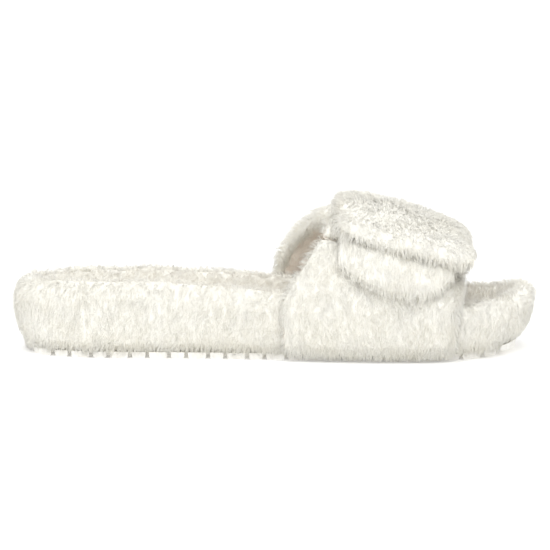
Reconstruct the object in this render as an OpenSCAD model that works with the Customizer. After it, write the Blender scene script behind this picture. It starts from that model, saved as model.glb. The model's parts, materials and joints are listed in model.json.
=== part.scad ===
// Fluffy open-toe house slipper, right foot.
// +X points to the toe, -Y is the outer side of the foot, +Z is up, and Z = 0 is the ground.
// The sole is a stack of rings that follow one outline, and the band, the strap and the puff
// are layers over one arched surface.

/* [Sole] */
// Length of the sole from heel to toe
sole_length = 266; // [240:1:290]
// Width of the sole at the ball of the foot
ball_width = 95; // [86:1:104]
// Height of the raised rim at the heel
heel_rim_height = 39; // [36:0.5:42]
// Depth of the footbed below its rim
cup_depth = 10; // [8:0.5:11]
// How far the tip of the toe curls up
toe_spring = 5; // [2:0.5:7]
// Thickness of the fluffy cover round the sole
wrap_thickness = 4; // [3:0.25:4.5]

/* [Tread] */
// Height of the tread lugs
lug_height = 3; // [2:0.25:3.5]
// Distance from one pair of lugs to the next
lug_pitch = 19.8; // [18:0.2:24]
// Width of the groove between two lugs
groove_width = 1.8; // [1.4:0.1:2.6]
// Thickness of the plate that carries the lugs
plate_thickness = 2.5; // [2:0.25:3]

/* [Band] */
// Height of the inside of the arch at its rear edge
arch_rear_height = 64; // [60:1:68]
// Height of the inside of the arch at its front edge
arch_front_height = 43; // [40:1:46]
// Thickness of the band's lining
lining_thickness = 1; // [0.8:0.1:1.4]
// Thickness of the band's foam padding
padding_thickness = 2.5; // [2:0.1:3]
// Thickness of the band's fluffy cover
cover_thickness = 3.5; // [3:0.1:4]

/* [Strap] */
// Clearance between the strap and the band
strap_clearance = 0.6; // [0.5:0.05:0.8]
// Thickness of each half of the hook and loop fastener
tape_thickness = 1; // [0.8:0.1:1.2]
// Thickness of the strap's padding at its free end
tab_padding = 3.2; // [2.8:0.1:4]
// Thickness of the filling in the puff at its crown
puff_filling_height = 5.75; // [3:0.25:7]

/* [Hidden] */

half_length = sole_length / 2;
half_width = ball_width / 2;
skin = 0.05; // air between layers that are glued or sewn together
side_shift = 1.8; // puts the origin midway between the two sides of the whole slipper

// ---- Small tools ----

function mix(a, b, t) = a + (b - a) * t;
function clamp(v, low, high) = min(max(v, low), high);
function ease(t) = let(c = clamp(t, 0, 1)) c * c * (3 - 2 * c);

// A point at t, from 0 to 1, on the smooth stretch from b to c, whose neighbours are a and d
function spline(a, b, c, d, t) =
    0.5 * (2 * b + (c - a) * t + (2 * a - 5 * b + 4 * c - d) * t * t
        + (3 * b - a - 3 * c + d) * t * t * t);

// The smooth height over x through a table of [x, height]
function smooth(table, x) =
    let(
        last = len(table) - 1,
        c = clamp(x, table[0][0], table[last][0]),
        k = max([for (i = [0:last - 1]) if (table[i][0] <= c) i]),
        t = (c - table[k][0]) / (table[k + 1][0] - table[k][0])
    )
    spline(table[max(k - 1, 0)][1], table[k][1], table[k + 1][1],
        table[min(k + 2, last)][1], t);

// ---- Outline of the sole ----

// Station as a share of the half length, then the outer and the inner reach as shares of the half width
foot_form = [
    [-0.97, 0.33, 0.33], [-0.88, 0.58, 0.58], [-0.71, 0.73, 0.73], [-0.45, 0.78, 0.76],
    [-0.15, 0.83, 0.77], [0.15, 0.92, 0.84], [0.41, 1.00, 0.96],
    [0.64, 0.95, 1.00], [0.81, 0.76, 0.90], [0.92, 0.51, 0.70], [0.98, 0.20, 0.43],
];
toe_reach = 0.13;
function plan_point(station, reach) = [station * half_length, reach * half_width + side_shift];
corners = concat(
    [plan_point(-1, 0)],
    [for (f = foot_form) plan_point(f[0], -f[1])],
    [plan_point(1, toe_reach)],
    [for (i = [len(foot_form) - 1:-1:0]) plan_point(foot_form[i][0], foot_form[i][2])]
);
corner_steps = 3;
ring_count = len(corners) * corner_steps;

function corner(i) = corners[(i + len(corners)) % len(corners)];
outline = [
    for (i = [0:len(corners) - 1], j = [0:corner_steps - 1])
        spline(corner(i - 1), corner(i), corner(i + 1), corner(i + 2), j / corner_steps)
];
function outline_point(i) = outline[(i + ring_count) % ring_count];
// The direction from an outline point straight into the sole
function inward(i) =
    let(along = outline_point(i + 1) - outline_point(i - 1))
    [-along[1], along[0]] / norm(along);

outer_edge = [for (i = [0:ring_count / 2]) outline[i]];
inner_edge = [for (i = [0:ring_count / 2]) outline[(ring_count - i) % ring_count]];

// ---- Heights along the sole ----

rim_form = [
    [-1.0, 0.97], [-0.6, 1.01], [-0.25, 0.96], [0.1, 0.87],
    [0.45, 0.78], [0.70, 0.73], [0.86, 0.76], [1.0, 0.87],
];
function rim_z(x) = heel_rim_height * smooth(rim_form, x / half_length);
toe_spring_start = 0.7;
function ground_z(x) = toe_spring * pow(max(0, (x / half_length - toe_spring_start)
    / (1 - toe_spring_start)), 2);
toe_cup_share = 0.85; // the cup is shallower at the toe, by this factor
function floor_z(x) = rim_z(x) - cup_depth * mix(1, toe_cup_share, ease(x / half_length));
plate_bottom = lug_height;
plate_top = lug_height + plate_thickness;

// Outer face of the side wall: share of the height from the wall's foot to the rim, then inset
wall_form = [[0, 9], [0.12, 4.2], [0.3, 1.6], [0.55, 0.4], [0.8, 0], [0.93, 2.6], [1, 6.6]];
wall_rows = [0.12, 0.3, 0.55, 0.8]; // heights of the wall's middle rings, as shares
wall_foot = lug_height + 0.5;
function wall_z(x, h) = mix(ground_z(x) + wall_foot, rim_z(x), h);
function wall_inset(h) = smooth(wall_form, h);
toe_tuck = 0.3; // how much further the underside is inset at the tip of the toe
function tuck(x) = 1 + toe_tuck * ease((x / half_length - toe_spring_start) / (1 - toe_spring_start));

// ---- Rings and the solids made of them ----

// One point of a ring, inset into the sole
function inset_point(i, d) = let(p = outline_point(i)) p + inward(i) * d;
// A ring at an inset, with its height given over x
function ring(d, height) = [
    for (i = [0:ring_count - 1])
        let(p = inset_point(i, d)) [p[0], p[1], height(p[0])]
];
// The same, but tucked in under the toe
function low_ring(d, height) = [
    for (i = [0:ring_count - 1])
        let(p = inset_point(i, d * tuck(outline_point(i)[0]))) [p[0], p[1], height(p[0])]
];
// A ring on the side wall, moved in by depth
upper_wall = 0.8; // from this share of the height up, the wall isn't tucked in
function wall_ring(h, depth) = [
    for (i = [0:ring_count - 1])
        let(
            lower = h < upper_wall ? tuck(outline_point(i)[0]) : 1,
            p = inset_point(i, wall_inset(h) * lower + depth)
        )
        [p[0], p[1], wall_z(p[0], h)]
];

// A ring of the cup from form: its inset, its share of the way down from the rim to the floor of
// the cup, and how far it lies below that
function cup_ring(form) =
    ring(form[0], function(x) mix(rim_z(x), floor_z(x), form[1]) - form[2]);

function flat_points(rows) = [for (row = rows) each row];
// The face a, b, c, d as two triangles
function quad(a, b, c, d) = [[a, b, c], [a, c, d]];

// A closed solid from a stack of rings, capped across at both ends
module ring_stack(rings) {
    n = ring_count;
    top = (len(rings) - 1) * n;
    sides = [
        for (r = [0:len(rings) - 2], i = [0:n - 1])
            each quad(r * n + i, (r + 1) * n + i, (r + 1) * n + (i + 1) % n, r * n + (i + 1) % n)
    ];
    caps = [
        for (i = [0:n / 2 - 1])
            let(a = i, b = i + 1, c = (n - i - 1) % n, d = (n - i) % n)
            each concat(
                i == 0 ? [[a, b, c]] : (b == c ? [[a, b, d]] : quad(a, b, c, d)),
                i == 0 ? [[top + a, top + c, top + b]]
                    : (b == c ? [[top + a, top + d, top + b]]
                        : quad(top + a, top + d, top + c, top + b))
            )
    ];
    polyhedron(points = flat_points(rings), faces = concat(sides, caps), convexity = 8);
}

// A closed band round the sole from a loop of rings
module ring_loop(rings) {
    n = ring_count;
    m = len(rings);
    polyhedron(points = flat_points(rings), faces = [
        for (r = [0:m - 1], i = [0:n - 1])
            each quad(r * n + i, (r + 1) % m * n + i,
                (r + 1) % m * n + (i + 1) % n, r * n + (i + 1) % n)
    ], convexity = 8);
}

// ---- The arched surface of the band ----

band_rear = 4.4;
band_front = 90;
crown_rear = 27;
crown_front = 95;
wall_share = 0.85; // where the arch leaves the side wall, as a share of the wall's height
band_foot = 0.1; // where the band ends low on the side wall, as a share of the same
wall_gap = 0.35; // glue between the side wall and the band
crown_shift = 3; // the crown lies this far towards the inner side of the foot
boxiness = 0.93; // below 1, the arch has fuller shoulders than an ellipse
inner_lean = 1.8; // above 1, the inner rear edge stands up before it sweeps forward

function rounder(v) = sign(v) * pow(abs(v), boxiness);
// How far the edges of the band have leant from their feet to the crown at angle a
function lean(a) = let(rise = max(0, sin(a))) a <= 90 ? rise : pow(rise, inner_lean);
// The surface under the band at u, 0 at the rear edge and 1 at the front, and angle a:
// -90 to 0 climbs the outer side wall, 0 to 180 is the arch, 180 to 270 goes down the inner wall
function arch(u, a) =
    let(
        foot_x = mix(band_rear, band_front, u),
        outer = a <= 90,
        over = outer ? a : 180 - a,
        low = over < 0,
        h = low ? mix(wall_share, band_foot, -over / 90) : wall_share,
        foot_y = lookup(foot_x, outer ? outer_edge : inner_edge)
            + (outer ? 1 : -1) * (wall_inset(h) - wall_gap),
        foot_z = wall_z(foot_x, h),
        crown_y = (lookup(foot_x, outer_edge) + lookup(foot_x, inner_edge)) / 2 + crown_shift,
        crown_z = mix(arch_rear_height, arch_front_height, u)
    )
    low ? [foot_x, foot_y, foot_z]
        : [
            mix(foot_x, mix(crown_rear, crown_front, u), lean(a)),
            mix(crown_y, foot_y, rounder(cos(over))),
            mix(foot_z, crown_z, rounder(sin(a)))
        ];
// The u at which the arch has a given x at angle a
function arch_u(x, a) =
    let(rear = mix(band_rear, crown_rear, lean(a)), front = mix(band_front, crown_front, lean(a)))
    (x - rear) / (front - rear);
// The direction from the rear edge to the front edge along the surface
function arch_along(u, a) = let(d = arch(u + 0.01, a) - arch(u - 0.01, a)) d / norm(d);
function arch_normal(u, a) =
    let(n = cross(arch_along(u, a), arch(u, a + 1) - arch(u, a - 1)))
    n / norm(n);
function lifted(u, a, d) = arch(u, a) + arch_normal(u, a) * d;

// A closed layer over the arch. columns run from the rear edge, 0, to the front edge, 1, and
// rows from the outer end, 0, to the inner end, 1. place(c, r) gives the u and the angle there.
// low(c, r, a) and high(c, r, a) are how far the two faces lie above the arch.
module layer(columns, rows, place, low, high) {
    nc = len(columns);
    nr = len(rows);
    function grid(lift) = [
        for (c = columns, r = rows) let(p = place(c, r)) lifted(p[0], p[1], lift(c, r, p[1]))
    ];
    top = nc * nr;
    function at(i, j) = i * nr + j;
    function wall(a, b) = quad(a, top + a, top + b, b);
    faces = concat(
        [for (i = [0:nc - 2], j = [0:nr - 2]) each concat(
            quad(at(i, j), at(i + 1, j), at(i + 1, j + 1), at(i, j + 1)),
            quad(top + at(i, j), top + at(i, j + 1), top + at(i + 1, j + 1), top + at(i + 1, j))
        )],
        [for (j = [0:nr - 2]) each concat(
            wall(at(0, j + 1), at(0, j)),
            wall(at(nc - 1, j), at(nc - 1, j + 1))
        )],
        [for (i = [0:nc - 2]) each concat(
            wall(at(i, 0), at(i + 1, 0)),
            wall(at(i + 1, nr - 1), at(i, nr - 1))
        )]
    );
    polyhedron(points = concat(grid(low), grid(high)), faces = faces, convexity = 8);
}

// A padded panel is a core inside a border. margin is the border as a share of the panel.
margin = 0.05;
shoulder = 0.13;
function steps(count) = concat([0, margin],
    [for (i = [0:count]) mix(shoulder, 1 - shoulder, i / count)], [1 - margin, 1]);
function without_first(shares) = [for (i = [1:len(shares) - 1]) shares[i]];
function without_last(shares) = [for (i = [0:len(shares) - 2]) shares[i]];
function core_steps(count) = without_last(without_first(steps(count)));
// Fullness of the core, 1 in the middle and little at the margin
function core_profile(v) = lookup(v, [[0, 0], [margin, 0.25], [shoulder, 1],
    [1 - shoulder, 1], [1 - margin, 0.25], [1, 0]]);
// Fullness of the skin, which rolls over at its edges
function skin_profile(v) = lookup(v, [[0, 0.55], [margin, 0.85], [shoulder, 1],
    [1 - shoulder, 1], [1 - margin, 0.85], [1, 0.55]]);

// ---- Band ----

slit_rear = 57; // angles of the slit between the outer and the inner half of the band
slit_front = 52;
slit_gap = 5;
ground_angle = 90; // how far round the side walls the band reaches
band_columns = steps(5);
band_core_columns = core_steps(5);
band_thickness = lining_thickness + padding_thickness + cover_thickness;
band_top = band_thickness + 2 * skin;
slim_foot = 0.5; // the band is thinner at the foot of the side walls, by this factor
slim_ramp = 105; // degrees over which it gets to its full thickness

function slim(a) = mix(slim_foot, 1, ease((min(a, 180 - a) + ground_angle) / slim_ramp));
function slit(c) = mix(slit_rear, slit_front, c);
outer_place = function(c, r) [c, mix(-ground_angle, slit(c) - slit_gap / 2, r)];
inner_place = function(c, r) [c, mix(slit(c) + slit_gap / 2, 180 + ground_angle, r)];
outer_rows = [0, 0.08, 0.16, 0.24, 0.32, 0.4, 0.48, 0.56, 0.64, 0.71, 0.79, 0.87, 0.95, 1];
inner_rows = [0, 0.05, 0.13, 0.19, 0.25, 0.31, 0.37, 0.43, 0.5, 0.57, 0.64, 0.71, 0.78, 0.86, 0.94, 1];
// Only the edge at the slit is rolled over. The lower end is held by the sole.
outer_fold = function(r) max(0.5, r);
inner_fold = function(r) min(0.5, r);

module band_lining(rows, place) {
    color("wheat") layer(band_columns, rows, place,
        function(c, r, a) 0,
        function(c, r, a) lining_thickness * slim(a));
}
module band_padding(rows, place, fold) {
    color("khaki") layer(band_core_columns, rows, place,
        function(c, r, a) lining_thickness * slim(a) + skin,
        function(c, r, a) slim(a) * (lining_thickness + skin
            + padding_thickness * core_profile(c) * core_profile(fold(r))) + skin);
}
module band_cover(rows, place, fold) {
    color("ivory") layer(band_columns, rows, place,
        function(c, r, a) slim(a) * (lining_thickness + skin
            + padding_thickness * core_profile(c) * core_profile(fold(r))) + 2 * skin,
        function(c, r, a) slim(a) * (lining_thickness
            + (padding_thickness + cover_thickness) * skin_profile(c) * skin_profile(fold(r)))
            + 2 * skin);
}

module outer_band_lining() band_lining(outer_rows, outer_place);
module outer_band_padding() band_padding(without_last(outer_rows), outer_place, outer_fold);
module outer_band_cover() band_cover(outer_rows, outer_place, outer_fold);
module inner_band_lining() band_lining(inner_rows, inner_place);
module inner_band_padding() band_padding(without_first(inner_rows), inner_place, inner_fold);
module inner_band_cover() band_cover(inner_rows, inner_place, inner_fold);

// ---- Strap ----

strap_rear = 31.5;
strap_front = 87;
hinge_angle = 156; // where the strap folds, next to its sewn end
root_end_angle = 172;
root_gap = 3; // degrees between the strap and its sewn end
backing_thickness = 0.8;
strap_cover_thickness = 2;
thin_cover = 0.4; // thickness of the cover where it is pressed flat
flat_padding = 1; // thickness of the padding under the puff
hem_thickness = 1.85; // thickness of the strap where it is pressed flat at its sewn end
flat_share = 0.12; // share of the strap's length over which it is pressed flat
flat_edge = 0.3; // share of the cover's fullness that is left there
tab_ramp_start = 64; // the padding grows from this angle down to the free end
tab_ramp = 34;
tape_angle = 44; // the fastener ends here
tape_ramp = 16; // degrees over which the strap comes down from the fastener to the band
tape_glue = 0.6; // glue between the hook tape and the strap

// Angle of the free end's rounded edge, from the rear of the strap to its front
tab_form = [[0, 28], [0.1, 22], [0.3, 16], [0.5, 13], [0.7, 13], [0.88, 17], [1, 27]];
function strap_u(c, a) = arch_u(mix(strap_rear, strap_front, c), a);
strap_place = function(c, r)
    let(a = mix(smooth(tab_form, c), hinge_angle, r)) [strap_u(c, a), a];
root_place = function(c, r)
    let(a = mix(hinge_angle + root_gap, root_end_angle, r)) [strap_u(c, a), a];
strap_columns = steps(5);
strap_core_columns = core_steps(5);
strap_rows = [0, 0.05, 0.13, 0.19, 0.25, 0.32, 0.4, 0.48, 0.56, 0.64, 0.72, 0.8, 0.88, 0.94, 1];
strap_core_rows = without_first(without_last(strap_rows));

// The strap lifts off the band where the fastener lies between them
function strap_lift(a) = band_top + strap_clearance
    + (2 * tape_thickness + tape_glue) * ease((tape_angle + tape_ramp - a) / tape_ramp);
function strap_fold(r) = min(r, 0.5);
// The strap is pressed flat towards its sewn end
function strap_fullness(r) = ease((1 - r) / flat_share);
function strap_padding_thickness(r, a) =
    strap_fullness(r) * mix(flat_padding, tab_padding, ease((tab_ramp_start - a) / tab_ramp));
function strap_core_top(c, r, a) = strap_lift(a) + backing_thickness + 2 * skin
    + strap_padding_thickness(r, a) * core_profile(c) * core_profile(strap_fold(r));
function strap_top(c, r, a) = strap_lift(a) + backing_thickness + 3 * skin + thin_cover
    + (strap_padding_thickness(r, a)
        + (strap_cover_thickness - thin_cover) * mix(flat_edge, 1, strap_fullness(r)))
        * skin_profile(c) * skin_profile(strap_fold(r));

module strap_backing() {
    color("wheat") layer(strap_columns, strap_rows, strap_place,
        function(c, r, a) strap_lift(a),
        function(c, r, a) strap_lift(a) + backing_thickness);
}
module strap_padding() {
    color("khaki") layer(strap_core_columns, strap_core_rows, strap_place,
        function(c, r, a) strap_lift(a) + backing_thickness + skin,
        function(c, r, a) strap_core_top(c, r, a));
}
module strap_cover() {
    color("ivory") layer(strap_columns, strap_rows, strap_place,
        function(c, r, a) strap_core_top(c, r, a) + skin,
        function(c, r, a) strap_top(c, r, a));
}

// The sewn end of the strap stays on the band
root_lift = band_top + skin;
root_top = band_top + strap_clearance + hem_thickness;
root_edge = band_top + 1.2; // the sewn end is thinner at its lower edge
module strap_root() {
    color("ivory") layer(strap_columns, [0, 0.35, 0.7, 1], root_place,
        function(c, r, a) root_lift,
        function(c, r, a) mix(root_top, root_edge, r * r));
}

// Places a child on the arch at x and angle a, with its Z axis along the surface's normal and
// its X axis along the strap's width
module on_arch(x, a, lift) {
    u = arch_u(x, a);
    z = arch_normal(u, a);
    ux = arch_along(u, a);
    uy = cross(z, ux);
    p = lifted(u, a, lift);
    multmatrix([[ux[0], uy[0], z[0], p[0]], [ux[1], uy[1], z[1], p[1]], [ux[2], uy[2], z[2], p[2]]])
        children();
}

stitch_count = 12;
stitch_share = 0.5; // where the seam runs across the sewn end
stitch_inset = 3;
stitch_length = 2.6;
stitch_radius = 0.4;
module strap_root_stitches() {
    a = mix(hinge_angle + root_gap, root_end_angle, stitch_share);
    lift = mix(root_top, root_edge, stitch_share * stitch_share) + stitch_radius + skin;
    for (i = [0:stitch_count - 1])
        color("white")
            on_arch(mix(strap_rear + stitch_inset, strap_front - stitch_inset,
                i / (stitch_count - 1)), a, lift)
            rotate([0, 90, 0]) cylinder(h = stitch_length, r = stitch_radius, center = true, $fn = 16);
}

tape_rear = 41;
tape_front = 80;
tape_columns = [0, 0.25, 0.5, 0.75, 1];
tape_rows = [0, 0.25, 0.5, 0.75, 1];
tape_low_angle = 22;
tape_place = function(c, r)
    let(a = mix(tape_low_angle, tape_angle, r)) [arch_u(mix(tape_rear, tape_front, c), a), a];
module loop_tape() {
    color("white") layer(tape_columns, tape_rows, tape_place,
        function(c, r, a) band_top + skin,
        function(c, r, a) band_top + skin + tape_thickness);
}
module hook_tape() {
    color("white") layer(tape_columns, tape_rows, tape_place,
        function(c, r, a) band_top + skin + tape_thickness + strap_clearance,
        function(c, r, a) band_top + skin + 2 * tape_thickness + strap_clearance);
}

// ---- Puff on top of the strap ----

puff_rear = 28.5;
puff_front = 96;
puff_panel = 1.6;
puff_outer_rear = 42; // angles of the puff's outer edge, at its rear and at its front
puff_outer_front = 29;
puff_inner = 138;
puff_seat = 0.15; // air between the strap and the puff
crown_fullness = 0.3; // share of the filling that goes into the crown of the puff
// The corners of the puff are rounded off by this many degrees
corner_round = 9;
function corner_pull(c) = corner_round * pow(abs(2 * c - 1), 6);
puff_place = function(c, r)
    let(
        first = mix(puff_outer_rear, puff_outer_front, c) + corner_pull(c),
        a = mix(first, puff_inner - corner_pull(c), r)
    )
    [arch_u(mix(puff_rear, puff_front, c), a), a];
puff_columns = steps(6);
puff_core_columns = core_steps(6);
puff_rows = steps(10);
puff_core_rows = core_steps(10);
puff_lift = function(a) strap_lift(a) + backing_thickness + 3 * skin + puff_seat
    + strap_padding_thickness(0.5, a) + strap_cover_thickness;
function puff_height(c, r) = puff_filling_height
    * (1 - crown_fullness + crown_fullness * sin(180 * c) * sin(180 * r));
function puff_core_top(c, r, a) = puff_lift(a) + puff_panel + 2 * skin
    + puff_height(c, r) * core_profile(c) * core_profile(r);

module puff_lower_panel() {
    color("ivory") layer(puff_columns, puff_rows, puff_place,
        function(c, r, a) puff_lift(a),
        function(c, r, a) puff_lift(a) + puff_panel);
}
module puff_filling() {
    color("whitesmoke") layer(puff_core_columns, puff_core_rows, puff_place,
        function(c, r, a) puff_lift(a) + puff_panel + skin,
        function(c, r, a) puff_core_top(c, r, a));
}
module puff_upper_panel() {
    color("ivory") layer(puff_columns, puff_rows, puff_place,
        function(c, r, a) puff_core_top(c, r, a) + skin,
        function(c, r, a) puff_lift(a) + puff_panel + thin_cover
            + (puff_height(c, r) + puff_panel) * skin_profile(c) * skin_profile(r));
}

// ---- Sole ----

plate_inset = 11.2;
plate_chamfer = 0.4;
lug_inset = 5.5;
first_lug = 10; // distance from the back of the heel
last_lug = 12; // distance from the tip of the toe
wide_lug = 0.56; // share of the pitch that the wide lug and its groove take
lug_root = 0.2; // how far the lugs run up into the plate
// One end of a lug seen from the side: in from its end, and up from its foot
lug_round = [[1.2, 0], [0.75, 0.1], [0.4, 0.35], [0.15, 0.8]];

function lug_profile(length, rear_height, front_height) = concat(
    [[0, rear_height]],
    [for (i = [len(lug_round) - 1:-1:0]) lug_round[i]],
    [for (p = lug_round) [length - p[0], p[1]]],
    [[length, front_height]]
);
// A lug right across the sole, with its foot flat at the height of the toe spring there
module lug(x, length) {
    foot = (ground_z(x) + ground_z(x + length)) / 2;
    rear_height = ground_z(x) - foot + lug_height + lug_root;
    front_height = ground_z(x + length) - foot + lug_height + lug_root;
    translate([0, 0, foot]) intersection() {
        linear_extrude(front_height) polygon([
            for (i = [0:ring_count - 1]) inset_point(i, lug_inset * tuck(outline_point(i)[0]))
        ]);
        translate([x, ball_width, 0]) rotate([90, 0, 0])
            linear_extrude(2 * ball_width) polygon(lug_profile(length, rear_height, front_height));
    }
}
module outsole() {
    color("linen") {
        ring_stack([
            low_ring(plate_inset + plate_chamfer, function(x) ground_z(x) + plate_bottom),
            low_ring(plate_inset, function(x) ground_z(x) + plate_bottom + plate_chamfer),
            low_ring(plate_inset, function(x) ground_z(x) + plate_top),
        ]);
        for (x = [-half_length + first_lug:lug_pitch:half_length - last_lug]) {
            lug(x, wide_lug * lug_pitch - groove_width);
            lug(x + wide_lug * lug_pitch, (1 - wide_lug) * lug_pitch - groove_width);
        }
    }
}

foam_thickness = 4;
board_thickness = 1.4;
cover_depth = 3; // thickness of the footbed's cover in the middle
rim_inset = 6.8; // where the side wrap has rolled over the rim
seam_inset = 8.6; // where the side wrap is sewn to the footbed's cover
seam_gap = 0.2;
cavity_inset = 17; // wall of the hollow for the board and the foam
cavity_play = 0.2;
cavity_drop = cover_depth + foam_thickness + board_thickness + 0.4;
wrap_glue = 0.25; // glue between the midsole and the side wrap
wrap_foot_inset = plate_inset + 0.1; // the wrap is folded in over the plate
midsole_foot_inset = plate_inset + 0.9;
wrap_foot_lift = 0.2;

// Each row is a cup_ring: inset, share of the way down the cup, and drop below that
midsole_cup = [
    [rim_inset, 0, wrap_thickness + 0.3], [seam_inset, 0, wrap_thickness + 0.4],
    [10.2, 0.5, 2.5], [14.6, 1, cover_depth], [cavity_inset, 1, cavity_drop],
];
foam_form = [
    [cavity_inset + cavity_play, 1, cavity_drop - board_thickness - 2 * skin],
    [cavity_inset - 0.3, 1, cover_depth + 2.2],
    [cavity_inset + 0.6, 1, cover_depth + 0.15],
];
cover_bottom = [
    [22, 1, cover_depth], [15.2, 1, cover_depth - 0.6], [10.6, 0.5, 2],
    [seam_inset + seam_gap, 0, wrap_thickness],
];
cover_top = [
    [seam_inset + seam_gap, 0, 0.5], [10.8, 0, 1.8], [13, 0.5, 0], [17, 1, -0.8], [24, 1, 0],
];
wrap_seam = [
    [seam_inset, 0, 0.4], [seam_inset, 0, wrap_thickness - 0.2], [rim_inset, 0, wrap_thickness + 0.1],
];

module midsole() {
    color("gainsboro") ring_stack(concat(
        [low_ring(midsole_foot_inset, function(x) ground_z(x) + plate_top + skin)],
        [for (h = wall_rows) wall_ring(h, wrap_thickness + wrap_glue)],
        [for (form = midsole_cup) cup_ring(form)]
    ));
}

module insole_board() {
    color("tan") ring_stack([
        for (drop = [cavity_drop - skin, cavity_drop - skin - board_thickness])
            cup_ring([cavity_inset + cavity_play, 1, drop])
    ]);
}

module footbed_foam() {
    color("lemonchiffon") ring_stack([for (form = foam_form) cup_ring(form)]);
}

module footbed_cover() {
    color("ivory") ring_stack([for (form = concat(cover_bottom, cover_top)) cup_ring(form)]);
}

module side_wrap() {
    color("ivory") ring_loop(concat(
        [for (h = concat([0, 0.06], wall_rows, [0.93, 1])) wall_ring(h, 0)],
        [for (form = wrap_seam) cup_ring(form)],
        [for (i = [len(wall_rows) - 1:-1:0]) wall_ring(wall_rows[i], wrap_thickness)],
        [low_ring(wrap_foot_inset, function(x) ground_z(x) + plate_top + wrap_foot_lift)]
    ));
}

outsole();
midsole();
insole_board();
footbed_foam();
footbed_cover();
side_wrap();
outer_band_lining();
outer_band_padding();
outer_band_cover();
inner_band_lining();
inner_band_padding();
inner_band_cover();
loop_tape();
strap_root();
strap_root_stitches();
strap_backing();
strap_padding();
strap_cover();
hook_tape();
puff_lower_panel();
puff_filling();
puff_upper_panel();
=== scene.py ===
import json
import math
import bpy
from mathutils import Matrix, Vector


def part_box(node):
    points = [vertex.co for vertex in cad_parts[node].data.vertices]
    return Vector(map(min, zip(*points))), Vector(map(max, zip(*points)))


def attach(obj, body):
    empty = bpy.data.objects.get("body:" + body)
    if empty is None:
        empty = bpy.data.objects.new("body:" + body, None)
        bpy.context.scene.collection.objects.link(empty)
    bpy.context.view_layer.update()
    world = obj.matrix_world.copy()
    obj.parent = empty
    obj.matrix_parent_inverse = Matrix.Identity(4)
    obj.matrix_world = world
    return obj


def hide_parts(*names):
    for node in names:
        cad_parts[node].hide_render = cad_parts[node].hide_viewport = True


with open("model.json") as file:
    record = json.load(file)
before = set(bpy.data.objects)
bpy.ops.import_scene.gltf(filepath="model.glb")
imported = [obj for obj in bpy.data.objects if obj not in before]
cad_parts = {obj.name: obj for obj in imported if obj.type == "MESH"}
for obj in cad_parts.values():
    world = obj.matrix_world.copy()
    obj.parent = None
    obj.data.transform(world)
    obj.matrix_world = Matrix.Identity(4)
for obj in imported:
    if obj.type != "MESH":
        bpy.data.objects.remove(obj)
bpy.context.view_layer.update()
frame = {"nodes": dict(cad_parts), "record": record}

# The looks of the fluffy slipper. Each furry part is a pelt, which is the CAD solid remeshed,
# filled out and dented, and a pile of closed, tapered strands that grow on the pelt.
import zlib

import bmesh
import bpy
import numpy as np
from mathutils import Vector
from mathutils.bvhtree import BVHTree
from mathutils.kdtree import KDTree

MM = 0.001
STRAP_NODES = list(frame["record"]["behaviour"]["bodies"]["strap"])
SHOE_NODES = list(frame["record"]["behaviour"]["bodies"]["slipper"])
STRANDS_A_PIECE = 19000  # a piece of more than this is split, to keep each mesh a handy size
OWN_SHADING = 1.0  # how much a strand's own roundness shows in its shading
LOWEST_HAIR = 0.4 * MM  # no hair reaches lower above the ground
ROOT_DEPTH = 0.3 * MM  # how far the hairs are rooted in the pelt
LEAST_GAP = 0.35 * MM  # hair grows only where this much is free above the pelt
PRESSED_REACH = 9 * MM  # hair is pressed flat by what lies nearer than this
SWIRL_CELL = 9 * MM  # the lie of the hair wanders over patches of this size
SWIRL = 0.3
STRAY = 0.08  # how much single hairs differ in direction
LEAST_RISE = 0.12  # the flattest that a hair can lie


# ---- Numbers: random draws, noise and vectors ----

def draws(name):
    """A random generator that gives the same numbers for a name on every run."""
    return np.random.default_rng(zlib.crc32(name.encode()))


def unit(vectors):
    length = np.linalg.norm(vectors, axis=1, keepdims=True)
    return vectors / np.maximum(length, 1e-12)


def ease(values):
    t = np.clip(values, 0.0, 1.0)
    return t * t * (3.0 - 2.0 * t)


def lattice(ix, iy, iz, seed):
    """One random number from -1 to 1 for each point of an integer lattice."""
    h = (ix * 374761393 + iy * 668265263 + iz * 1440662683 + seed * 1274126177) & 0xFFFFFFFF
    h = ((h ^ (h >> 13)) * 1103515245) & 0xFFFFFFFF
    h = h ^ (h >> 16)
    return (h & 0xFFFF) / 32767.5 - 1.0


def noise(points, cell, seed):
    """Smooth noise from -1 to 1 whose bumps are about one cell wide."""
    q = points / cell
    base = np.floor(q).astype(np.int64)
    f = ease(q - base)
    total = np.zeros(len(points))
    for corner in range(8):
        step = np.array([corner & 1, corner >> 1 & 1, corner >> 2 & 1])
        share = np.prod(np.where(step == 1, f, 1.0 - f), axis=1)
        at = base + step
        total += share * lattice(at[:, 0], at[:, 1], at[:, 2], seed)
    return total


def noise_vectors(points, cell, seed):
    return np.stack([noise(points, cell, seed + k) for k in range(3)], axis=1)


def along_surface(vectors, normals):
    """The part of each vector that lies in the surface."""
    return vectors - normals * np.sum(vectors * normals, axis=1, keepdims=True)


# ---- Meshes ----

def new_object(name, mesh):
    obj = bpy.data.objects.new(name, mesh)
    bpy.context.scene.collection.objects.link(obj)
    return obj


def copy_of_nodes(name, nodes):
    """A new object with the welded faces of some CAD nodes."""
    bm = bmesh.new()
    for node in nodes:
        bm.from_mesh(frame["nodes"][node].data)
    bmesh.ops.remove_doubles(bm, verts=bm.verts, dist=1e-6)
    mesh = bpy.data.meshes.new(name)
    bm.to_mesh(mesh)
    bm.free()
    return new_object(name, mesh)


def apply_modifiers(obj):
    depsgraph = bpy.context.evaluated_depsgraph_get()
    mesh = bpy.data.meshes.new_from_object(obj.evaluated_get(depsgraph))
    obj.modifiers.clear()
    obj.data = mesh
    for polygon in mesh.polygons:
        polygon.use_smooth = True


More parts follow.
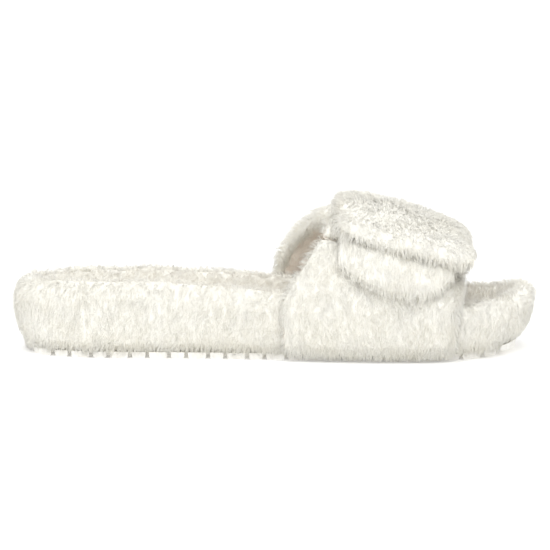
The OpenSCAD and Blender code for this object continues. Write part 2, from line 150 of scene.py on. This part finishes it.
def vertex_array(obj, what="co"):
    values = np.empty(len(obj.data.vertices) * 3, dtype=np.float32)
    obj.data.vertices.foreach_get(what, values)
    return values.reshape(-1, 3).astype(float)


def set_vertices(obj, points):
    obj.data.vertices.foreach_set("co", points.astype(np.float32).ravel())
    obj.data.update()


def remesh(obj, voxel, smoothing):
    """Even quads all over, with the CAD facets smoothed away."""
    modifier = obj.modifiers.new("voxels", "REMESH")
    modifier.mode = "VOXEL"
    modifier.voxel_size = voxel
    modifier = obj.modifiers.new("smooth", "SMOOTH")
    modifier.factor = 0.5
    modifier.iterations = smoothing
    apply_modifiers(obj)


def subdivide(obj, levels):
    modifier = obj.modifiers.new("subdivide", "SUBSURF")
    modifier.levels = levels
    apply_modifiers(obj)


def dent(obj, offset):
    """Moves each vertex along its normal by offset(points, normals), in metres."""
    points = vertex_array(obj)
    normals = vertex_array(obj, "normal")
    set_vertices(obj, points + normals * offset(points, normals)[:, None])


def inflate(obj, pressure, cap, pinned):
    """Fills a closed pelt like a cushion by cloth simulation. pinned(points) is 1 where it is sewn."""
    start = vertex_array(obj)
    group = obj.vertex_groups.new(name="sewn")
    for index, weight in enumerate(pinned(start)):
        if weight > 0:
            group.add([index], float(weight), "REPLACE")
    modifier = obj.modifiers.new("cloth", "CLOTH")
    modifier.settings.use_pressure = True
    modifier.settings.uniform_pressure_force = pressure
    modifier.settings.effector_weights.gravity = 0
    modifier.settings.vertex_group_mass = "sewn"
    modifier.settings.quality = 4
    modifier.collision_settings.use_collision = False
    scene = bpy.context.scene
    for number in range(1, 21):
        scene.frame_set(number)
    depsgraph = bpy.context.evaluated_depsgraph_get()
    moved = vertex_array(obj.evaluated_get(depsgraph)) - start
    scene.frame_set(1)
    obj.modifiers.clear()
    obj.vertex_groups.clear()
    length = np.linalg.norm(moved, axis=1, keepdims=True)
    set_vertices(obj, start + moved * np.minimum(1.0, cap / np.maximum(length, 1e-9)))


def tree_of(nodes):
    """A search tree of the CAD nodes' faces, for rays."""
    points = []
    faces = []
    for node in nodes:
        mesh = frame["nodes"][node].data
        first = len(points)
        points.extend(v.co.copy() for v in mesh.vertices)
        faces.extend([first + i for i in p.vertices] for p in mesh.polygons)
    return BVHTree.FromPolygons(points, faces)


def headroom(tree, points, normals, reach):
    """The free height above each point, up to reach."""
    if tree is None:
        return np.full(len(points), reach)
    start = points + normals * 0.02 * MM
    free = np.full(len(points), reach)
    for i in range(len(points)):
        hit = tree.ray_cast(Vector(start[i]), Vector(normals[i]), reach)
        if hit[3] is not None:
            free[i] = hit[3]
    return free


# ---- Materials ----

class Shader:
    """A material's node tree, with short calls for the nodes that every material here needs."""

    def __init__(self, name, roughness):
        self.material = bpy.data.materials.new(name)
        self.material.use_nodes = True
        self.tree = self.material.node_tree
        self.surface = self.tree.nodes["Principled BSDF"]
        self.set("Roughness", roughness)

    def node(self, kind, **values):
        node = self.tree.nodes.new("ShaderNode" + kind)
        for key, value in values.items():
            setattr(node, key, value)
        return node

    def link(self, output, socket):
        self.tree.links.new(output, socket)

    def set(self, socket, value):
        self.surface.inputs[socket].default_value = value

    def place(self):
        return self.node("TexCoord").outputs["Object"]

    def noise(self, size, detail=3.0, stretch=(1.0, 1.0, 1.0)):
        """Noise whose bumps are size metres wide."""
        texture = self.node("TexNoise")
        texture.inputs["Scale"].default_value = 1.0 / size
        texture.inputs["Detail"].default_value = detail
        mapping = self.node("Mapping")
        mapping.inputs["Scale"].default_value = stretch
        self.link(self.place(), mapping.inputs["Vector"])
        self.link(mapping.outputs["Vector"], texture.inputs["Vector"])
        return texture.outputs["Fac"]

    def attribute(self, name):
        return self.node("Attribute", attribute_name=name).outputs["Fac"]

    def ramp(self, value, *stops):
        """Colours over a value. Each stop is a position and a colour."""
        ramp = self.node("ValToRGB")
        elements = ramp.color_ramp.elements
        while len(elements) < len(stops):
            elements.new(0.5)
        for element, (position, colour) in zip(elements, stops):
            element.position = position
            element.color = (*colour, 1.0)
        self.link(value, ramp.inputs["Fac"])
        return ramp.outputs["Color"]

    def blend(self, first, second, share, kind="MIX"):
        mix = self.node("Mix", data_type="RGBA", blend_type=kind)
        self.link(first, mix.inputs["A"])
        self.link(second, mix.inputs["B"])
        if isinstance(share, float):
            mix.inputs["Factor"].default_value = share
        else:
            self.link(share, mix.inputs["Factor"])
        return mix.outputs["Result"]

    def colour(self, output):
        self.link(output, self.surface.inputs["Base Color"])

    def bump(self, height, depth, strength=1.0):
        bump = self.node("Bump")
        bump.inputs["Distance"].default_value = depth
        bump.inputs["Strength"].default_value = strength
        self.link(height, bump.inputs["Height"])
        self.link(bump.outputs["Normal"], self.surface.inputs["Normal"])

    def sheen(self, weight):
        self.set("Sheen Weight", weight)
        self.set("Sheen Roughness", 0.5)


def pile_material(name, root, tip, shade):
    """Fur strands: warmer and darker at the root, with blotches of shade and a tint for each strand."""
    s = Shader(name, 0.85)
    along = s.ramp(s.attribute("along"), (0.0, root), (0.55, tip), (1.0, tip))
    blotch = s.ramp(s.noise(14 * MM), (0.42, shade), (0.62, (1.0, 1.0, 1.0)))
    tinted = s.ramp(s.attribute("tint"), (0.0, (0.99, 0.989, 0.985)), (1.0, (1.0, 1.0, 1.0)))
    colour = s.blend(along, blotch, 1.0, "MULTIPLY")
    s.colour(s.blend(colour, tinted, 1.0, "MULTIPLY"))
    s.set("Specular IOR Level", 0.15)
    s.sheen(0.1)
    return s.material


def pelt_material(name, colour, shade):
    """The knitted back of the fur, dense with the feet of the hairs."""
    s = Shader(name, 0.95)
    s.colour(s.ramp(s.noise(3 * MM, 6.0), (0.35, shade), (0.65, colour)))
    s.bump(s.noise(0.9 * MM, 4.0), 0.5 * MM, 0.8)
    s.sheen(0.3)
    return s.material


def rubber_material():
    """Moulded rubber, a little dusty, with a fine grain."""
    s = Shader("tread_rubber", 0.6)
    base = s.ramp(s.noise(9 * MM, 5.0), (0.35, (0.90, 0.885, 0.84)), (0.7, (0.95, 0.94, 0.90)))
    dust = s.ramp(s.noise(1.6 * MM, 6.0), (0.45, (0.93, 0.925, 0.915)), (0.6, (1.0, 1.0, 1.0)))
    s.colour(s.blend(base, dust, 1.0, "MULTIPLY"))
    s.bump(s.noise(0.5 * MM, 3.0), 0.12 * MM, 0.6)
    return s.material


def foam_material(name, colour):
    """Closed-cell foam: fine pores on a faintly mottled body."""
    s = Shader(name, 0.9)
    dark = tuple(c * 0.93 for c in colour)
    s.colour(s.ramp(s.noise(4 * MM, 5.0), (0.4, dark), (0.6, colour)))
    s.bump(s.noise(0.7 * MM, 2.0), 0.3 * MM, 0.7)
    return s.material


def board_material():
    """Pressed cellulose board with long fibres."""
    s = Shader("fibre_board", 0.9)
    fibres = s.noise(1.2 * MM, 6.0, (0.2, 1.0, 1.0))
    s.colour(s.ramp(fibres, (0.35, (0.55, 0.45, 0.32)), (0.7, (0.70, 0.60, 0.45))))
    s.bump(fibres, 0.2 * MM, 0.6)
    return s.material


def thread_material():
    """Twisted thread: a fine slanted ply."""
    s = Shader("sewing_thread", 0.7)
    wave = s.node("TexWave", bands_direction="DIAGONAL")
    wave.inputs["Scale"].default_value = 900.0
    s.link(s.place(), wave.inputs["Vector"])
    s.colour(s.ramp(wave.outputs["Fac"], (0.2, (0.84, 0.82, 0.77)), (0.8, (0.94, 0.93, 0.90))))
    s.bump(wave.outputs["Fac"], 0.1 * MM, 0.6)
    return s.material


def tape_material(name, colour):
    """The woven base of a fastener tape."""
    s = Shader(name, 0.75)
    weave = s.node("TexBrick")
    weave.inputs["Scale"].default_value = 1.0 / (1.2 * MM)
    s.link(s.place(), weave.inputs["Vector"])
    dark = tuple(c * 0.92 for c in colour)
    s.colour(s.ramp(s.noise(1.0 * MM, 4.0), (0.4, dark), (0.6, colour)))
    s.bump(weave.outputs["Fac"], 0.15 * MM, 0.5)
    return s.material


WHITE_ROOT = (0.97, 0.945, 0.87)
WHITE_TIP = (0.99, 0.976, 0.912)
WHITE_SHADE = (0.985, 0.978, 0.955)
# The footbed pile is darker and more beige than the rest of the fur: painted shade of the sunken
# footbed under the upper.
SHADED_BED_ROOT = (0.93, 0.89, 0.81)
SHADED_BED_TIP = (0.965, 0.945, 0.885)
# The lining's warm pinkish beige is painted shade and painted warm bounce light from inside the band,
# laid over the lining's own cream.
SHADED_LINING_ROOT = (0.93, 0.83, 0.74)
SHADED_LINING_TIP = (0.98, 0.92, 0.84)
SHADED_LINING_MOTTLE = (0.97, 0.94, 0.90)
PILE = pile_material("cream_pile", WHITE_ROOT, WHITE_TIP, WHITE_SHADE)
SHADED_BED_PILE = pile_material("footbed_pile", SHADED_BED_ROOT, SHADED_BED_TIP, WHITE_SHADE)
SHADED_LINING_PILE = pile_material("lining_pile_painted_shade", SHADED_LINING_ROOT, SHADED_LINING_TIP, SHADED_LINING_MOTTLE)
PELT = pelt_material("cream_pelt", (0.98, 0.965, 0.90), (0.95, 0.93, 0.85))
SHADED_LINING_PELT = pelt_material("lining_knit_painted_shade", (0.96, 0.89, 0.81), (0.92, 0.83, 0.74))
BACKING = tape_material("strap_backing_knit", (0.92, 0.88, 0.82))
LOOP_BASE = tape_material("loop_tape_weave", (0.93, 0.91, 0.86))
HOOK_BASE = tape_material("hook_tape_base", (0.88, 0.87, 0.82))


def finish(obj, material, body, slot, *nodes):
    """Gives a piece its material and its body, and hides the CAD nodes that it stands for. Its slot is
    not used.
    """
    obj.data.materials.clear()
    obj.data.materials.append(material)
    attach(obj, body)
    if nodes:
        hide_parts(*nodes)
    return obj


# ---- Fur ----

def strand_points(root, middle, tip, radius, turn):
    """The seven points of each strand: a ring of three at its root, one at its middle, and its tip."""
    axis = unit(middle - root)
    side = unit(np.cross(axis, turn))
    other = np.cross(axis, side)
    rows = []
    for centre, share in ((root, 1.0), (middle, 0.8)):
        for k in range(3):
            angle = 2.0 * math.pi * k / 3.0
            spoke = side * math.cos(angle) + other * math.sin(angle)
            rows.append(centre + spoke * radius[:, None] * share)
    rows.append(tip)
    return np.stack(rows, axis=1).reshape(-1, 3)


def strand_mesh(name, points, normals, tint):
    """One mesh of closed strands, with how far along its strand each point is, and its tint. The
    strands are shaded partly as the pelt that they grow on, which is how dense fur takes the light."""
    count = len(points) // 7
    first = (np.arange(count) * 7)[:, None, None]
    sides = np.array([[0, 1, 4, 3], [1, 2, 5, 4], [2, 0, 3, 5]])[None] + first
    ends = np.array([[3, 4, 6], [4, 5, 6], [5, 3, 6], [2, 1, 0]])[None] + first
    corners = np.concatenate([sides.ravel(), ends.ravel()])
    quads = count * 3
    starts = np.concatenate([np.arange(quads) * 4, quads * 4 + np.arange(count * 4) * 3])
    mesh = bpy.data.meshes.new(name)
    mesh.vertices.add(len(points))
    mesh.vertices.foreach_set("co", points.astype(np.float32).ravel())
    mesh.loops.add(len(corners))
    mesh.loops.foreach_set("vertex_index", corners.astype(np.int32))
    mesh.polygons.add(len(starts))
    mesh.polygons.foreach_set("loop_start", starts.astype(np.int32))
    mesh.update(calc_edges=True)
    mesh.polygons.foreach_set("use_smooth", np.ones(len(starts), dtype=bool))
    along = np.tile([0.0, 0.0, 0.0, 0.5, 0.5, 0.5, 1.0], count)
    for key, values in (("along", along), ("tint", np.repeat(tint, 7))):
        attribute = mesh.attributes.new(key, "FLOAT", "POINT")
        attribute.data.foreach_set("value", values.astype(np.float32))
    lay_out_strands(mesh, corners, count)
    own = np.empty(len(points) * 3, dtype=np.float32)
    mesh.vertices.foreach_get("normal", own)
    shaded = unit(own.reshape(-1, 3) * OWN_SHADING + np.repeat(normals, 7, axis=0))
    mesh.normals_split_custom_set_from_vertices(shaded)
    return mesh


def lay_out_strands(mesh, corners, count):
    """Gives every strand its own cell of a square UV layout, root at the bottom and tip on top."""
    side = math.ceil(math.sqrt(count))
    strand = np.arange(count)
    across = np.tile([0.2, 0.5, 0.8, 0.2, 0.5, 0.8, 0.5], count)
    up = np.tile([0.1, 0.1, 0.1, 0.5, 0.5, 0.5, 0.9], count)
    u = (np.repeat(strand % side, 7) + across) / side
    v = (np.repeat(strand // side, 7) + up) / side
    layer = mesh.uv_layers.new(name="OFBake")
    layer.data.foreach_set("uv", np.stack([u, v], axis=1)[corners].astype(np.float32).ravel())


def scatter(obj, count, rng, wanted):
    """Random roots on a mesh: points and normals. wanted(points, normals) is each face's density."""
    mesh = obj.data
    mesh.calc_loop_triangles()
    total = len(mesh.loop_triangles)
    corners = np.empty(total * 3, dtype=np.int32)
    mesh.loop_triangles.foreach_get("vertices", corners)
    corners = corners.reshape(-1, 3)
    area = np.empty(total, dtype=np.float32)
    mesh.loop_triangles.foreach_get("area", area)
    points = vertex_array(obj)[corners]
    normals = vertex_array(obj, "normal")[corners]
    density = area * wanted(points.mean(axis=1), unit(normals.mean(axis=1)))
    chosen = rng.choice(total, size=count, p=density / density.sum())
    a = rng.random(count)
    b = rng.random(count)
    over = a + b > 1.0
    a[over] = 1.0 - a[over]
    b[over] = 1.0 - b[over]
    share = np.stack([1.0 - a - b, a, b], axis=1)[:, :, None]
    return (points[chosen] * share).sum(axis=1), unit((normals[chosen] * share).sum(axis=1))


def clump(points, spacing, rng):
    """For each point, the number of its nearest tuft and the way to the tuft's centre."""
    kept = {}
    for index in rng.permutation(len(points)):
        key = tuple(np.floor(points[index] / spacing).astype(int))
        if key not in kept:
            kept[key] = index
    centres = points[list(kept.values())]
    tree = KDTree(len(centres))
    for number, centre in enumerate(centres):
        tree.insert(Vector(centre), number)
    tree.balance()
    nearest = np.array([tree.find(Vector(p))[1] for p in points])
    return nearest, centres[nearest] - points


class Coat:
    """How a part's fur grows: sizes in metres, and shares from 0 to 1."""

    def __init__(self, length, radius=0.11 * MM, lean=0.6, tuft=3.5 * MM, pull=0.5, wild=0.35,
                 droop=0.25):
        self.length = length
        self.radius = radius
        self.lean = lean      # how far the hairs lie down along the flow
        self.tuft = tuft      # spacing of the tufts
        self.pull = pull      # how far the tips draw together into tufts
        self.wild = wild      # how much tufts differ in direction
        self.droop = droop    # how far the tips hang


def grow(name, pelt, count, coat, flow, body, material, slot, blockers, soft_blockers=(),
         wanted=None, longer=None, stand=None):
    """Grows fur on a pelt. flow(points, normals) is the way it lies, blockers are CAD nodes that leave
    no room for it, and soft_blockers are those that press it flat. wanted, longer and stand change
    its density, its length and how upright it is."""
    rng = draws(name)
    hard = tree_of(blockers) if blockers else None
    soft = tree_of(soft_blockers) if soft_blockers else None

    def density(points, normals):
        free = headroom(hard, points, normals, 1.5 * MM)
        share = (free > LEAST_GAP).astype(float)
        return share * wanted(points, normals) if wanted else share

    points, normals = scatter(pelt, count, rng, density)
    length = coat.length * (0.75 + 0.5 * rng.random(count))
    if longer:
        length *= longer(points, normals)
    tufts, to_centre = clump(points, coat.tuft, rng)
    tuft_count = tufts.max() + 1
    tuft_way = (rng.random((tuft_count, 3)) - 0.5)[tufts] * 2.0 * coat.wild
    tuft_length = (0.82 + 0.36 * rng.random(tuft_count))[tufts]
    length *= tuft_length
    lie = along_surface(flow(points, normals), normals)
    lie += SWIRL * along_surface(noise_vectors(points, SWIRL_CELL, 3), normals)
    lean = coat.lean * (1.0 - (stand(points, normals) if stand else np.zeros(count)))[:, None]
    way = unit(normals * (1.0 - lean) + lie * lean
               + along_surface(tuft_way, normals) + STRAY * rng.standard_normal((count, 3)))
    up = np.sum(way * normals, axis=1)
    way += normals * np.maximum(LEAST_RISE - up, 0.0)[:, None]
    free = headroom(soft, points, normals, PRESSED_REACH) * 0.8
    up = np.maximum(np.sum(way * normals, axis=1), 0.05)
    too_high = np.minimum(1.0, free / (up * length))
    way = unit(way - normals * (up * (1.0 - too_high))[:, None])
    droop = np.zeros((count, 3))
    droop[:, 2] = -coat.droop
    middle = points + way * (0.5 * length)[:, None]
    tip_way = unit(way + droop * too_high[:, None] + 0.4 * lie * lean)
    tip = middle + tip_way * (0.5 * length)[:, None]
    shift = to_centre * coat.pull
    middle += shift * 0.4
    tip += shift
    below = np.minimum(0.0, np.sum((tip - points) * normals, axis=1) - 0.1 * MM)
    tip -= normals * below[:, None]
    for part in (middle, tip):
        part[:, 2] = np.maximum(part[:, 2], LOWEST_HAIR)
    radius = coat.radius * (0.75 + 0.5 * rng.random(count))
    tint = 0.5 * rng.random(count) + 0.5 * rng.random(tuft_count)[tufts]
    start = points - normals * ROOT_DEPTH
    pieces = []
    parts = math.ceil(count / STRANDS_A_PIECE)
    order = np.argsort(points[:, 0], kind="stable")
    for number, chosen in enumerate(np.array_split(order, parts)):
        label = f"{name}_{number + 1}" if parts > 1 else name
        turn = unit(rng.standard_normal((len(chosen), 3)))
        rows = strand_points(start[chosen], middle[chosen], tip[chosen], radius[chosen], turn)
        obj = new_object(label, strand_mesh(label, rows, normals[chosen], tint[chosen]))
        pieces.append(finish(obj, material, body, slot))
    return pieces


def flow_down(points, normals):
    """Hangs down, and a little towards the heel."""
    way = np.zeros_like(points)
    way[:, 0] = -0.25
    way[:, 2] = -1.0
    return way


def flow_forward(points, normals):
    """Lies towards the toe."""
    way = np.zeros_like(points)
    way[:, 0] = 0.6
    return way


def hang(way, normals):
    """Turns the flow straight down where the surface is steep or faces down."""
    steep = ease((0.5 - normals[:, 2]) / 0.5)[:, None]
    down = np.array([[0.0, 0.0, -1.3]])
    return way * (1.0 - steep) + down * steep


def flow_over_foot(points, normals):
    """From the crown of the band down both sides."""
    way = np.zeros_like(points)
    way[:, 0] = -0.15
    way[:, 1] = np.clip(points[:, 1] / (30 * MM), -0.8, 0.8)
    way[:, 2] = -0.8
    return hang(way, normals)


def facing(direction, start=0.3, end=0.8):
    """A function that is 1 where the surface faces a direction, and 0 where it faces away."""
    def share(points, normals):
        return ease((normals @ np.array(direction, dtype=float) - start) / (end - start))
    return share


FACES_REAR = facing((-1, 0, 0))
FACES_FRONT = facing((1, 0, 0))
FACES_REAR_AND_UP = facing((-0.85, 0, 0.5), 0.2, 0.7)
HANGS_OUTSIDE = facing((0, -0.5, -0.8), 0.0, 0.5)


def flow_from(centre, reach):
    """Outwards from a centre, and down past the edges."""
    def flow(points, normals):
        return hang((points - np.array(centre)) / reach, normals)
    return flow


# ---- The parts ----

def others(*own):
    """Every CAD node of the slipper's body but these."""
    return [node for node in SHOE_NODES if node not in own]


def at_hem(points):
    """1 at the foot of the sole, and 0 from 10 mm up."""
    return ease((10 * MM - points[:, 2]) / (4 * MM))


def stand_at_hem(points, normals):
    """Lets the hair at the foot hang free in front of the lugs."""
    return 0.35 * at_hem(points)


def make_side_wrap():
    pelt = copy_of_nodes("side_wrap_pelt", ["side_wrap"])
    remesh(pelt, 1.6 * MM, 3)
    dent(pelt, lambda p, n: (0.7 * noise(p, 16 * MM, 11) + 0.45 * noise(p, 7 * MM, 12)) * MM)
    finish(pelt, PELT, "slipper", "fur", "side_wrap")
    coat = Coat(4.0 * MM, lean=0.7, tuft=2.6 * MM, pull=0.12, wild=0.08, droop=0.6)

    def thicker_at_hem(points, normals):
        return 1.0 + 1.2 * at_hem(points)

    def longer_at_hem(points, normals):
        return 1.0 + 0.25 * at_hem(points)

    grow("side_wrap_pile", pelt, 66000, coat, flow_down, "slipper", PILE, "fur",
         others("side_wrap"), (), thicker_at_hem, longer_at_hem, stand_at_hem)


def make_footbed():
    pelt = copy_of_nodes("footbed_pelt", ["footbed_cover"])
    remesh(pelt, 1.8 * MM, 3)
    dent(pelt, lambda p, n: 0.5 * noise(p, 18 * MM, 21) * MM)
    finish(pelt, PELT, "slipper", "fur", "footbed_cover")
    coat = Coat(3.6 * MM, lean=0.5, tuft=2.6 * MM, pull=0.2, wild=0.15, droop=0.0)
    # Its pile colours hold painted shade, darker and more beige than the other fur.
    grow("footbed_pile", pelt, 44000, coat, flow_forward, "slipper", SHADED_BED_PILE, "fur",
         others("footbed_cover"))


def above_rim(points):
    """0 up to the rim of the sole, and 1 from 8 mm above it."""
    return ease((points[:, 2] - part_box("side_wrap")[1][2]) / (8 * MM))


def band_dents(points, normals):
    """Soft lumps, and a fuller rear edge on the inner half from 24 mm up. Both are in millimetres
    until the last line."""
    inner = ease((points[:, 2] - 24 * MM) / (8 * MM)) * (points[:, 1] > 0)
    full = 4.5 * FACES_REAR_AND_UP(points, normals) * inner
    return (full + 0.5 * noise(points, 15 * MM, 31) + 0.25 * noise(points, 7 * MM, 32)) * MM


def make_band_half(side, count):
    cover = f"{side}_band_cover"
    lining = f"{side}_band_lining"
    pelt = copy_of_nodes(f"{cover}_pelt", [cover])
    remesh(pelt, 1.3 * MM, 3)
    dent(pelt, band_dents)
    finish(pelt, PELT, "slipper", "fur", cover)
    coat = Coat(4.4 * MM, lean=0.7, tuft=2.6 * MM, pull=0.15, wild=0.12, droop=0.5)

    def length(points, normals):
        return 1.0 + 0.1 * FACES_REAR(points, normals) * above_rim(points)

    def thickness(points, normals):
        at_edges = 0.4 * FACES_REAR(points, normals) + 2.0 * FACES_FRONT(points, normals)
        return 1.0 + at_edges + 1.8 * at_hem(points)

    def stand(points, normals):
        at_rear = FACES_REAR(points, normals) * (0.4 + 0.25 * above_rim(points))
        at_edges = np.maximum(at_rear, 0.4 * FACES_FRONT(points, normals))
        return np.maximum(at_edges, stand_at_hem(points, normals))

    grow(f"{cover}_pile", pelt, count, coat, flow_over_foot, "slipper", PILE, "fur",
         others(cover), STRAP_NODES, thickness, length, stand)
    knit = copy_of_nodes(f"{lining}_knit", [lining])
    subdivide(knit, 2)
    # The lining's knit and pile colours hold painted shade and painted warm bounce light.
    finish(knit, SHADED_LINING_PELT, "slipper", "lining", lining)
    coat = Coat(2.6 * MM, lean=0.5, tuft=3.0 * MM, pull=0.3, wild=0.25, droop=0.1)
    grow(f"{lining}_pile", knit, count // 3, coat, flow_down, "slipper", SHADED_LINING_PILE, "lining",
         others(lining))


def make_strap():
    pelt = copy_of_nodes("strap_pelt", ["strap_cover"])
    remesh(pelt, 1.3 * MM, 3)
    dent(pelt, lambda p, n: (0.5 * noise(p, 14 * MM, 41) + 0.25 * noise(p, 7 * MM, 42)) * MM)
    finish(pelt, PELT, "strap", "fur", "strap_cover")
    blockers = [node for node in STRAP_NODES if node != "strap_cover"]
    coat = Coat(4.4 * MM, lean=0.7, tuft=2.6 * MM, pull=0.12, wild=0.12, droop=0.5)

    def longer_at_end(points, normals):
        return 1.0 + 0.2 * HANGS_OUTSIDE(points, normals)

    def thicker_at_end(points, normals):
        return 1.0 + HANGS_OUTSIDE(points, normals)

    grow("strap_pile", pelt, 15000, coat, flow_over_foot, "strap", PILE, "fur", blockers,
         wanted=thicker_at_end, longer=longer_at_end)
    knit = copy_of_nodes("strap_backing_knit", ["strap_backing"])
    subdivide(knit, 2)
    finish(knit, BACKING, "strap", "lining", "strap_backing")


SEAM_START_X = 42 * MM
SEAM_START_Z = 72 * MM
SEAM_SLOPE = 0.27


def above_seam(points):
    """How far above the puff's seam a point is, in millimetres. The seam slopes down to the toe."""
    seam = SEAM_START_Z - (points[:, 0] - SEAM_START_X) * SEAM_SLOPE
    return (points[:, 2] - seam) / MM


def make_puff():
    nodes = ["puff_lower_panel", "puff_filling", "puff_upper_panel"]
    pelt = copy_of_nodes("puff_pelt", nodes)
    remesh(pelt, 2.0 * MM, 16)

    def sewn(points):
        """Half held at the seam, and held fast on the underside."""
        return 0.5 * np.exp(-np.square(above_seam(points) / 1.5)) + (above_seam(points) < -6.0)

    inflate(pelt, 5.0, 3 * MM, sewn)
    subdivide(pelt, 1)

    def lumps(points, normals):
        seam = -0.8 * np.exp(-np.square(above_seam(points) / 2.4))
        return (seam + 0.5 * noise(points, 16 * MM, 51) + 0.25 * noise(points, 8 * MM, 52)) * MM

    dent(pelt, lumps)
    finish(pelt, PELT, "strap", "fur", *nodes)
    lowest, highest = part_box("puff_upper_panel")
    off_centre = 12 * MM  # the hair parts this far towards the inner side
    centre = [(lowest[0] + highest[0]) / 2, (lowest[1] + highest[1]) / 2 + off_centre, highest[2]]
    coat = Coat(4.4 * MM, lean=0.65, tuft=2.6 * MM, pull=0.12, wild=0.12, droop=0.3)
    blockers = ["strap_cover", "strap_backing", "strap_padding"]
    rear = facing((-1, 0, 0.2))

    def length(points, normals):
        at_ends = 0.2 * rear(points, normals) - 0.1 * FACES_FRONT(points, normals)
        on_top = ease(normals[:, 2] / 0.6)
        return 1.0 + at_ends + 0.35 * HANGS_OUTSIDE(points, normals) - 0.2 * on_top

    def thicker_at_edge(points, normals):
        return 1.0 + 0.8 * HANGS_OUTSIDE(points, normals)

    def stand_at_rear(points, normals):
        return 0.6 * rear(points, normals)

    grow("puff_pile", pelt, 25000, coat, flow_from(centre, 40 * MM), "strap", PILE, "fur",
         blockers, wanted=thicker_at_edge, longer=length, stand=stand_at_rear)


def make_strap_root():
    pelt = copy_of_nodes("strap_root_pelt", ["strap_root"])
    remesh(pelt, 1.0 * MM, 2)
    finish(pelt, PELT, "slipper", "fur", "strap_root")
    coat = Coat(4.4 * MM, lean=0.65, tuft=2.8 * MM, pull=0.2, wild=0.2, droop=0.4)
    grow("strap_root_pile", pelt, 4000, coat, flow_over_foot, "slipper", PILE, "fur",
         others("strap_root", "strap_root_stitches"))


def make_tapes():
    for node, material, body, slot in (("loop_tape", LOOP_BASE, "slipper", "loop"),
                                       ("hook_tape", HOOK_BASE, "strap", "hook")):
        tape = copy_of_nodes(f"{node}_strip", [node])
        subdivide(tape, 2)
        finish(tape, material, body, slot, node)


def paint_nodes():
    """Materials for the CAD nodes that are carried over as they are."""
    foam = foam_material("closed_cell_foam", (0.90, 0.88, 0.82))
    thread = thread_material()
    for node, material in (("outsole", rubber_material()), ("midsole", foam),
                           ("insole_board", board_material()), ("footbed_foam", foam),
                           ("outer_band_padding", foam), ("inner_band_padding", foam),
                           ("strap_padding", foam), ("strap_root_stitches", thread)):
        obj = frame["nodes"][node]
        obj.data.materials.clear()
        obj.data.materials.append(material)


# ---- Stage, light and camera ----

SKY_HORIZON = 0.98  # strength of the sky round the horizon
SKY_FRONT = 0.98  # and overhead, in front of the slipper and behind it
SKY_BACK = 0.85


def make_floor():
    size = 30.0
    level = -0.02 * MM
    mesh = bpy.data.meshes.new("floor")
    corners = [(-size, -size), (size, -size), (size, size), (-size, size)]
    mesh.from_pydata([(x, y, level) for x, y in corners], [], [(0, 1, 2, 3)])
    floor = new_object("floor", mesh)
    s = Shader("studio_floor", 0.9)
    s.colour(s.ramp(s.noise(0.5), (0.4, (0.895, 0.895, 0.895)), (0.6, (0.905, 0.905, 0.905))))
    s.set("Emission Color", (1.0, 1.0, 1.0, 1.0))
    s.set("Emission Strength", 0.2)
    mesh.materials.append(s.material)


def make_light(name, place, target, spread, strength):
    """A soft light from far away, so that it falls evenly on the floor. spread is in degrees."""
    data = bpy.data.lights.new(name, "SUN")
    data.angle = math.radians(spread)
    data.energy = strength
    light = bpy.data.objects.new(name, data)
    bpy.context.scene.collection.objects.link(light)
    light.location = place
    way = Vector(target) - Vector(place)
    light.rotation_euler = way.to_track_quat("-Z", "Y").to_euler()


def make_sky():
    """White round the horizon, and a little dimmer behind the slipper."""
    world = bpy.data.worlds.new("studio")
    bpy.context.scene.world = world
    world.use_nodes = True
    tree = world.node_tree

    def ranged(value, start, end, low, high):
        node = tree.nodes.new("ShaderNodeMapRange")
        node.interpolation_type = "SMOOTHSTEP"
        for socket, number in (("From Min", start), ("From Max", end)):
            node.inputs[socket].default_value = number
        for socket, other in (("Value", value), ("To Min", low), ("To Max", high)):
            if isinstance(other, float):
                node.inputs[socket].default_value = other
            else:
                tree.links.new(other, node.inputs[socket])
        return node.outputs["Result"]

    way = tree.nodes.new("ShaderNodeSeparateXYZ")
    tree.links.new(tree.nodes.new("ShaderNodeTexCoord").outputs["Generated"], way.inputs["Vector"])
    dome = ranged(way.outputs["Y"], -0.6, 0.8, SKY_FRONT, SKY_BACK)
    strength = ranged(way.outputs["Z"], 0.08, 0.25, SKY_HORIZON, dome)
    background = tree.nodes["Background"]
    background.inputs["Color"].default_value = (1.0, 1.0, 1.0, 1.0)
    tree.links.new(strength, background.inputs["Strength"])


def make_studio():
    make_sky()
    target = (0.0, 0.0, 0.04)
    make_light("front", (-0.45, -1.4, 0.7), target, 50.0, 0.2)
    make_light("overhead", (-0.1, -0.5, 1.4), target, 60.0, 1.12)
    scene = bpy.context.scene
    scene.view_settings.view_transform = "Standard"
    scene.cycles.diffuse_bounces = 12
    scene.cycles.max_bounces = 16


def make_camera():
    """A long lens from the outer side, a little above the floor."""
    view_width = 0.2827
    lens = 200.0
    sensor = 36.0
    distance = view_width * lens / sensor
    elevation = math.radians(8.0)
    aim = Vector((0.0002, 0.0, 0.0384))
    data = bpy.data.cameras.new("camera")
    data.lens = lens
    data.sensor_width = sensor
    camera = bpy.data.objects.new("camera", data)
    bpy.context.scene.collection.objects.link(camera)
    camera.location = aim + distance * Vector((0.0, -math.cos(elevation), math.sin(elevation)))
    camera.rotation_euler = (math.radians(90.0) - elevation, 0.0, 0.0)
    bpy.context.scene.camera = camera


make_camera()
make_floor()
make_studio()
paint_nodes()
make_side_wrap()
make_footbed()
make_band_half("outer", 15000)
make_band_half("inner", 24000)
make_strap_root()
make_tapes()
make_strap()
make_puff()
